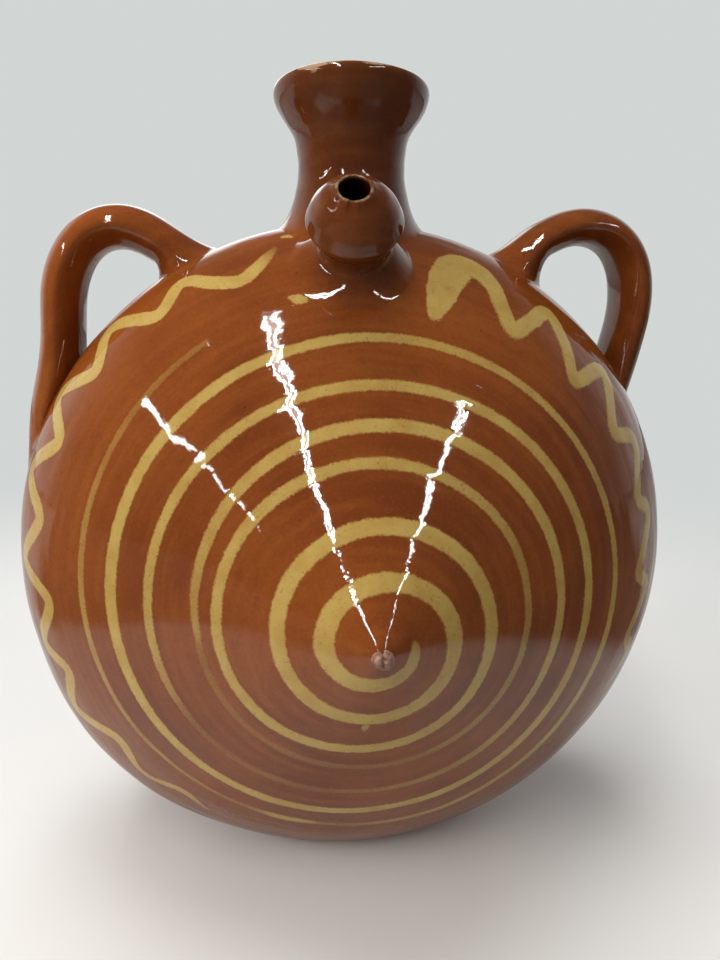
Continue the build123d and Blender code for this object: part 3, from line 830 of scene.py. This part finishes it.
# The spiral's columns: shares of its half width, then places beyond its edge.
INNER_SHARES, OUTER_REACHES = [0, 0.3, 0.55, 0.72, 0.86, 1.0], [0.2, 0.45, 0.8, TRAIL_MARGIN]


def smooth_table(table, want):
    """Smooth values of a table's later columns at the wanted values of its first."""
    dense = catmull(sorted(table), 24)
    order = np.argsort(dense[:, 0])
    return [np.interp(want, dense[order, 0], dense[order, k]) for k in (1, 2, 3)]


def trail_shape(away, half, soft):
    """Lift off the belly and slip cover at a distance from a trail's middle."""
    crown = TRAIL_LIFT + TRAIL_HEIGHT * np.maximum(1 - (away / half) ** 2, 0)
    fall = (TRAIL_LIFT + MARGIN_DEPTH) * np.maximum(away - half, 0) / TRAIL_MARGIN
    return crown - fall, np.clip(0.5 + (half - away) / soft, 0, 1)


def make_spiral():
    """The spiral, as one ribbon that follows the cone."""
    turns = np.arange(SPIRAL[-1][0], SPIRAL[0][0], SPIRAL_STEP)
    s, width, cover = smooth_table(SPIRAL, turns)
    radius = np.interp(s, LENGTHS, RADII)
    run = np.cumsum(np.hypot(np.gradient(s), np.radians(SPIRAL_STEP) * radius))

    def tremble(size, length, seed):
        return size * noise_at(0, run / length, 2, seed)

    half = (width * (1 + tremble(*WIDTH_TREMBLE)))[:, None] / 2
    s = s + tremble(*PLACE_TREMBLE)
    cover = cover + tremble(*COVER_TREMBLE)
    side = np.concatenate([half * INNER_SHARES, half + OUTER_REACHES], axis=1)
    across = np.concatenate([-side[:, :0:-1], side], axis=1)
    height, laid = trail_shape(np.abs(across), half, SOFT_EDGE)
    ragged = noise_at(run[:, None] / EDGE_TREMBLE_STEP, np.sign(across) + 5, 64, 64)
    ragged = EDGE_TREMBLE * ragged * (np.abs(across) > half / 2)
    place = s[:, None] + across * (1 + ragged)
    top = on_skin(turns[:, None], place, height)
    bottom = on_skin(turns[:, None], place[:, ::-3], -SPIRAL_DEPTH)
    rows = np.concatenate([top, bottom], axis=1)
    columns = rows.shape[1]
    slip = np.concatenate([laid, np.zeros(bottom.shape[:2])], axis=1)
    strength = np.clip(cover, 0, 1.2)[:, None] * np.ones_like(slip)
    faces = grid_faces(len(rows), columns)
    faces += [list(range(columns))[::-1], [(len(rows) - 1) * columns + k for k in range(columns)]]
    obj = add_object("slip_spiral_trailed", rows, faces, [slip_glaze], "root",
                     {"slip": slip, "strength": strength})
    fix_normals(obj)
    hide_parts("slip_spiral")


# Waves and drops are laid out flat, as on a cylinder of this radius.
FLAT_RADIUS, DROP_FLAT_RADII = 78.0, [65.0, 81.0, 20.0]
PATCH_CELL, PATCH_ROOM = 0.42, 5.0
LEAST_WIDTH, LEAST_HALF_WIDTH = 0.3, 0.1
# Ragged edges of waves and drops: size and length of a bump.
PATCH_EDGE = [(0.06, 2.6), (0.03, 0.9)]
RIGHT_WAVE_FEATHER = 1.6
# Angle, length along the outline, width and cover, as for the spiral.
LEFT_WAVE = [
    (103.6, 94.3, 1.2, 0.15), (105.3, 91.6, 2.7, 0.65), (107.8, 88.4, 3.5, 0.95),
    (111.2, 86.7, 3.9, 1), (115.3, 89.6, 3.9, 1), (120, 95.1, 3.8, 1), (126.2, 90, 3.8, 1),
    (134.2, 99.4, 3.9, 1), (140.4, 91.5, 3.9, 1), (148.3, 100.3, 3.9, 1), (153.8, 89.8, 3.9, 1),
    (161.7, 99.1, 3.8, 1), (167.9, 88.5, 3.8, 1), (176.7, 96.2, 3.7, 1), (182.9, 84.6, 3.6, 1),
    (191.7, 92, 3.6, 1), (197.1, 84.6, 3.6, 1), (205.4, 91.2, 3.4, 1), (213.3, 81, 3.5, 1),
    (222.8, 84.8, 2.2, 0.85), (230.4, 79.1, 2.9, 0.95), (237.5, 82.4, 1, 0.4)]
RIGHT_WAVE = [
    (75.7, 74, 4.4, 1), (75.5, 76, 6.2, 1), (74.9, 80, 8, 1), (74.3, 84.5, 9, 1),
    (73, 88.8, 9.2, 1), (70.9, 91.6, 8.2, 1), (68.2, 91.3, 6.4, 1), (65.6, 88.5, 5.2, 1),
    (62.6, 82.3, 4.5, 1), (59.6, 78.7, 4.4, 1), (57, 84, 4.2, 1), (54.1, 91.7, 4.2, 1),
    (48.8, 86.4, 4.1, 1), (43.6, 79.8, 4.1, 1), (39.1, 91.7, 4.1, 1), (30.5, 81.5, 4, 1),
    (25, 89.1, 3.9, 1), (15.9, 82.3, 3.8, 1), (10.9, 87.2, 3.7, 1), (0.5, 80.7, 3.7, 1),
    (-4.1, 86.8, 3.6, 1), (-13.6, 82.4, 3.4, 1), (-18.8, 87.6, 3, 0.95), (-27, 83, 0.8, 0.4)]
DROPS = [[(103.2, 77.5, 1.2, 0.9), (102, 76.6, 2.8, 1), (100.8, 76.0, 1.6, 0.9)],
         [(101.8, 98.8, 1.4, 0.9), (100.4, 98.5, 2.2, 1), (99.6, 98.2, 1.2, 0.9)],
         [(-94, 21.8, 0.9, 0.5), (-95, 22.8, 1.7, 0.75), (-95.5, 24.0, 1.0, 0.5)]]


def nearest_on_line(line, u, v):
    """Distance from each place (u, v) to the line's nearest point, and its number."""
    tree = kdtree.KDTree(len(line))
    for k, row in enumerate(line):
        tree.insert((row[0], row[1], 0), k)
    tree.balance()
    found = [tree.find((a, b, 0)) for a, b in zip(u.ravel(), v.ravel())]
    away = np.array([f[2] for f in found]).reshape(u.shape)
    return away, np.array([f[1] for f in found]).reshape(u.shape)


def slab_faces(cells, index, count):
    """Faces of a slab: cells on top and below, and walls along their edges."""
    faces = []
    for i, j in np.argwhere(cells):
        a, b, c, d = index[i, j], index[i + 1, j], index[i + 1, j + 1], index[i, j + 1]
        faces.append((a, b, c, d))
        faces.append((a + count, d + count, c + count, b + count))
    edges = dict.fromkeys(edge for face in faces[::2] for edge in zip(face, face[1:] + face[:1]))
    return faces + [(b, a, a + count, b + count) for a, b in edges if (b, a) not in edges]


def laid_patch(line, flat_radius, seed, feather=0.0):
    """A trail as low relief: points, faces, edge and strength of its slip."""
    line = np.array(line, float)
    flat = np.column_stack([np.radians(line[:, 0]) * flat_radius, line[:, 1:]])
    dense = catmull(flat, 40)
    us, vs = (np.arange(flat[:, k].min() - PATCH_ROOM, flat[:, k].max() + PATCH_ROOM, PATCH_CELL)
              for k in (0, 1))
    u, v = np.meshgrid(us, vs, indexing="ij")
    away, who = nearest_on_line(dense, u, v)
    ragged = 1 + sum(size * noise_at(u / step, v / step + 40, NOISE_ROWS, seed + k)
                     for k, (size, step) in enumerate(PATCH_EDGE))
    half = np.maximum(dense[who, 2], LEAST_WIDTH) / 2 * ragged
    half = np.maximum(half, LEAST_HALF_WIDTH)
    cover = dense[who, 3]
    below = ramp(dense[who, 1] - v, 0, half)
    height, laid = trail_shape(away, half, SOFT_EDGE * (0.8 + feather * below))
    keep = away < half + TRAIL_MARGIN
    cells = keep[:-1, :-1] & keep[1:, :-1] & keep[:-1, 1:] & keep[1:, 1:]
    used = np.zeros_like(keep)
    for a, b in ((0, 0), (1, 0), (0, 1), (1, 1)):
        used[a:used.shape[0] - 1 + a, b:used.shape[1] - 1 + b] |= cells
    count = int(used.sum())
    index = np.full(u.shape, -1)
    index[used] = np.arange(count)
    theta = np.degrees(u / flat_radius)
    top = on_skin(theta[used], v[used], height[used])
    bottom = on_skin(theta[used], v[used], -PATCH_DEPTH)
    laid = np.concatenate([laid[used], np.zeros(count)])
    strength = np.tile(cover[used], 2)
    return np.vstack([top, bottom]), slab_faces(cells, index, count), laid, strength


def make_trails(name, lines, flat_radii, seed, replaced, feather=0.0):
    """One object of slip trails, each laid out flat at its own radius."""
    patches = [laid_patch(line, flat_radius, seed + 10 * k, feather)
               for k, (line, flat_radius) in enumerate(zip(lines, flat_radii))]
    points, parts, slip, strength = zip(*patches)
    starts = np.cumsum([0] + [len(part) for part in points])
    faces = [[int(i + start) for i in face] for start, part in zip(starts, parts)
             for face in part]
    obj = add_object(name, np.vstack(points), faces, [slip_glaze], "root",
                     {"slip": np.concatenate(slip), "strength": np.concatenate(strength)})
    fix_normals(obj)
    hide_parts(replaced)


# ---- floor and background ----

# Ends of the pale table that the glaze mirrors, and their soft widths.
TABLE_LEFT, TABLE_RIGHT, TABLE_FRONT = -0.19, 0.14, -0.115
TABLE_SIDE_EDGE, TABLE_FRONT_EDGE = 0.04, 0.06
BOARD_STARTS = (0.04, 0.12)
FLOOR_SIZE = 3000.0
FLOOR_FADES = (0.12, 0.55)
BACKDROP = (0.64, 0.67, 0.66, 1)
TABLE_TONES = (0.68, 0.67, 0.64, 1), (0.64, 0.635, 0.61, 1)
SEEN_FLOOR_TONES = (0.92, 0.91, 0.89, 1), (0.88, 0.875, 0.86, 1)
BEYOND_TABLE = (0.14, 0.11, 0.09, 1)

# The room's walls, low and high, and the board as it lights and as it is mirrored.
ROOM_LOW, ROOM_HIGH = (0.12, 0.11, 0.10, 1), (0.10, 0.10, 0.10, 1)
BOARD_LIGHT, BOARD_MIRRORED = (0.50, 0.52, 0.51, 1), (0.75, 0.78, 0.77, 1)
# A window's soft glare on the glossy board.
GLARE_WAY = tuple(Vector((-0.19, 0.88, 0.45)).normalized())
GLARE_COSINES, GLARE_HEIGHTS, GLARE = (0.95, 0.985), (0.26, 0.38), (2.8, 2.8, 2.8, 1)


def floor_material():
    """A pale floor that fades into the backdrop, and is a table to all but the camera."""
    material = bpy.data.materials.new("pale_floor")
    n = Nodes(material)
    place, (x, y, _) = n.object_place()
    right = n.steps(x, TABLE_RIGHT, TABLE_RIGHT + TABLE_SIDE_EDGE)
    left = n.steps(x, TABLE_LEFT, TABLE_LEFT - TABLE_SIDE_EDGE)
    front = n.steps(y, TABLE_FRONT, TABLE_FRONT - TABLE_FRONT_EDGE)
    beyond = n.math("MAXIMUM", n.math("MAXIMUM", right, left), front)
    beyond = n.times(beyond, n.minus(1.0, n.steps(y, *BOARD_STARTS)))
    seen = n.add("LightPath").outputs["Is Camera Ray"]
    dull = n.steps(n.noise(place, 6.0, 3.0), 0.3, 0.7)
    pale = n.mix(seen, n.mix(dull, *TABLE_TONES), n.mix(dull, *SEEN_FLOOR_TONES))
    colour = n.mix(n.times(beyond, n.minus(1.0, seen)), pale, BEYOND_TABLE)
    shader = n.add("BsdfPrincipled", Base_Color=colour, Roughness=0.5)
    backdrop = n.add("Emission", Color=BACKDROP, Strength=1.0)
    fade = n.times(n.steps(n.length(x, y), *FLOOR_FADES), seen)
    both = n.add("MixShader", **{"0": fade, "1": shader.outputs[0], "2": backdrop.outputs[0]})
    n.add("OutputMaterial", Surface=both.outputs[0])
    return material


def make_floor():
    """The floor under the jug."""
    corners = [(-1, -1, 0), (1, -1, 0), (1, 1, 0), (-1, 1, 0)]
    floor = add_object("floor", np.array(corners) * FLOOR_SIZE, [(0, 1, 2, 3)],
                       [floor_material()], None)


def make_world():
    """A dim room with a pale, glossy board behind the jug."""
    world = bpy.data.worlds.new("room")
    bpy.context.scene.world = world
    n = Nodes(world)
    way = n.add("TexCoord").outputs["Generated"]
    _, depth, high = n.add("SeparateXYZ", Vector=way).outputs
    room = n.mix(n.steps(high, -0.05, 0.35), ROOM_LOW, ROOM_HIGH)
    board = n.times(n.steps(depth, -0.2, 0.7), n.minus(1.0, n.steps(high, 0.45, 0.75)))
    towards = n.add("VectorMath", {"operation": "DOT_PRODUCT"}, **{"0": way, "1": GLARE_WAY})
    glare = n.times(n.steps(towards.outputs["Value"], *GLARE_COSINES),
                    n.steps(high, *GLARE_HEIGHTS))
    path = n.add("LightPath").outputs
    mirrored = n.mix(glare, BOARD_MIRRORED, GLARE)
    room = n.mix(board, room, n.mix(path["Is Glossy Ray"], BOARD_LIGHT, mirrored))
    colour = n.mix(path["Is Camera Ray"], room, BACKDROP)
    back = n.add("Background", Color=colour, Strength=1.0)
    n.add("OutputWorld", Surface=back.outputs[0])


# ---- lamps ----

# Rows of ceiling tubes, as (x, y) of both ends. Those on the right are dimmer.
TUBES = [((-0.45, -0.42), (-0.68, -1.93)), ((-0.72, -2.12), (-0.95, -2.75)),
         ((1.29, -0.98), (1.28, -1.95)), ((1.28, -2.15), (1.2, -2.8)),
         ((-2.24, -0.55), (-2.45, -1.76)), ((-2.58, -2.02), (-2.80, -2.62))]
TUBE_HEIGHT, TUBE_WIDTH, TUBE_GLOW, RIGHT_TUBE_SHARE = 1.5, 0.10, 24.0, 0.6
TUBE_COLOUR = (1.0, 0.98, 0.95)
# What the glaze mirrors of a row: sideways shift, drop, share of the width, glow.
FIXTURE = {"reflector": (0.0, 0.02, 1.0, 7.0), "tube_left": (-0.034, 0.04, 0.22, 70.0),
           "tube_right": (0.034, 0.04, 0.22, 70.0)}
# Soft lamps, not mirrored: place, target, size, power, colour.
SOFT_LAMPS = {"soft_left": ((-2.0, -0.7, 0.8), (0, 0, 0.09), 1.2, 24.0, (1.0, 0.97, 0.92)),
              "soft_top": ((-0.24, 0.08, 1.8), (0, 0, 0), 0.9, 15.5, (1, 1, 1))}


def add_lamp(name, place, target, width, length, power, colour, along=(0, 1, 0)):
    """A rectangular lamp that faces its target, its length along a direction."""
    data = bpy.data.lights.new(name, "AREA")
    data.shape, data.size, data.size_y = "RECTANGLE", width, length
    data.energy, data.color = power, colour
    lamp = new_object(name, data)
    down = (Vector(target) - Vector(place)).normalized()
    along = Vector(along)
    along = (along - along.dot(down) * down).normalized()
    turn = Matrix((along.cross(-down), along, -down)).transposed()
    lamp.matrix_world = Matrix.Translation(Vector(place)) @ turn.to_4x4()
    return lamp


def add_tubes(name, start, end):
    """A row of tubes: one lamp that lights, and those that the glaze mirrors."""
    start, end = Vector((*start, TUBE_HEIGHT)), Vector((*end, TUBE_HEIGHT))
    span, middle, down = end - start, (start + end) / 2, Vector((0, 0, -1))
    power = TUBE_WIDTH * span.length * math.pi
    glow = TUBE_GLOW * (RIGHT_TUBE_SHARE if start.x > 0 else 1.0)
    lamp = add_lamp("tube_" + name, middle, middle + down, TUBE_WIDTH, span.length, glow * power,
                    TUBE_COLOUR, span)
    lamp.visible_glossy = False
    across = span.cross(-down).normalized()
    for part, (shift, lowered, share, glow) in FIXTURE.items():
        place = middle + across * shift + down * lowered
        lamp = add_lamp(part + "_" + name, place, place + down, TUBE_WIDTH * share, span.length,
                        glow * power * share, TUBE_COLOUR, span)
        lamp.visible_diffuse = False


def make_lamps():
    """The ceiling's tubes and the soft lamps."""
    for k, (start, end) in enumerate(TUBES):
        add_tubes(str(k), start, end)
    for name, (place, target, size, power, colour) in SOFT_LAMPS.items():
        add_lamp(name, place, target, size, size, power, colour).visible_glossy = False


# ---- camera ----

CAMERA_PLACE = (-16.69, -184.46, 140.71)
CAMERA_PITCH, CAMERA_YAW, CAMERA_ROLL = 12.29, 5.94, 0.27
FOCAL_PIXELS, PICTURE_HEIGHT, SENSOR = 721.0, 960.0, 36.0


def make_camera():
    """The photo's camera."""
    pitch, yaw, roll = (math.radians(a) for a in (CAMERA_PITCH, CAMERA_YAW, CAMERA_ROLL))
    ahead = Vector((math.sin(yaw) * math.cos(pitch), math.cos(yaw) * math.cos(pitch),
                    -math.sin(pitch)))
    level = Vector((math.cos(yaw), -math.sin(yaw), 0))
    up = level.cross(ahead)
    right = level * math.cos(roll) + up * math.sin(roll)
    up = up * math.cos(roll) - level * math.sin(roll)
    data = bpy.data.cameras.new("camera")
    data.sensor_width = SENSOR
    data.lens = FOCAL_PIXELS / PICTURE_HEIGHT * SENSOR
    data.clip_start, data.clip_end = 0.01, 20.0
    camera = new_object("camera", data)
    turn = Matrix((right, up, -ahead)).transposed()
    camera.matrix_world = Matrix.Translation(Vector(CAMERA_PLACE) * MM) @ turn.to_4x4()
    bpy.context.scene.camera = camera


# ---- the scene ----

make_belly()
make_neck()
make_spout()
# Painted light on the left handle (1.12) and painted shade on the right one (0.80).
make_handle("left_handle_pulled", LEFT_PATH, 1.0, LEFT_ENDS, 1, 1.12,
            ("left_handle", "left_handle_roots"))
make_handle("right_handle_pulled", RIGHT_PATH, 0.9, RIGHT_ENDS, -1, 0.80,
            ("right_handle", "right_handle_roots"))
make_nub()
make_spiral()
make_trails("slip_wave_left_trailed", [LEFT_WAVE], [FLAT_RADIUS], 70, "slip_wave_left")
make_trails("slip_wave_right_trailed", [RIGHT_WAVE], [FLAT_RADIUS], 80, "slip_wave_right",
            RIGHT_WAVE_FEATHER)
make_trails("slip_drops_fallen", DROPS, DROP_FLAT_RADII, 90, "slip_drops")
make_floor()
make_world()
make_lamps()
make_camera()
bpy.context.scene.view_settings.view_transform = "Standard"
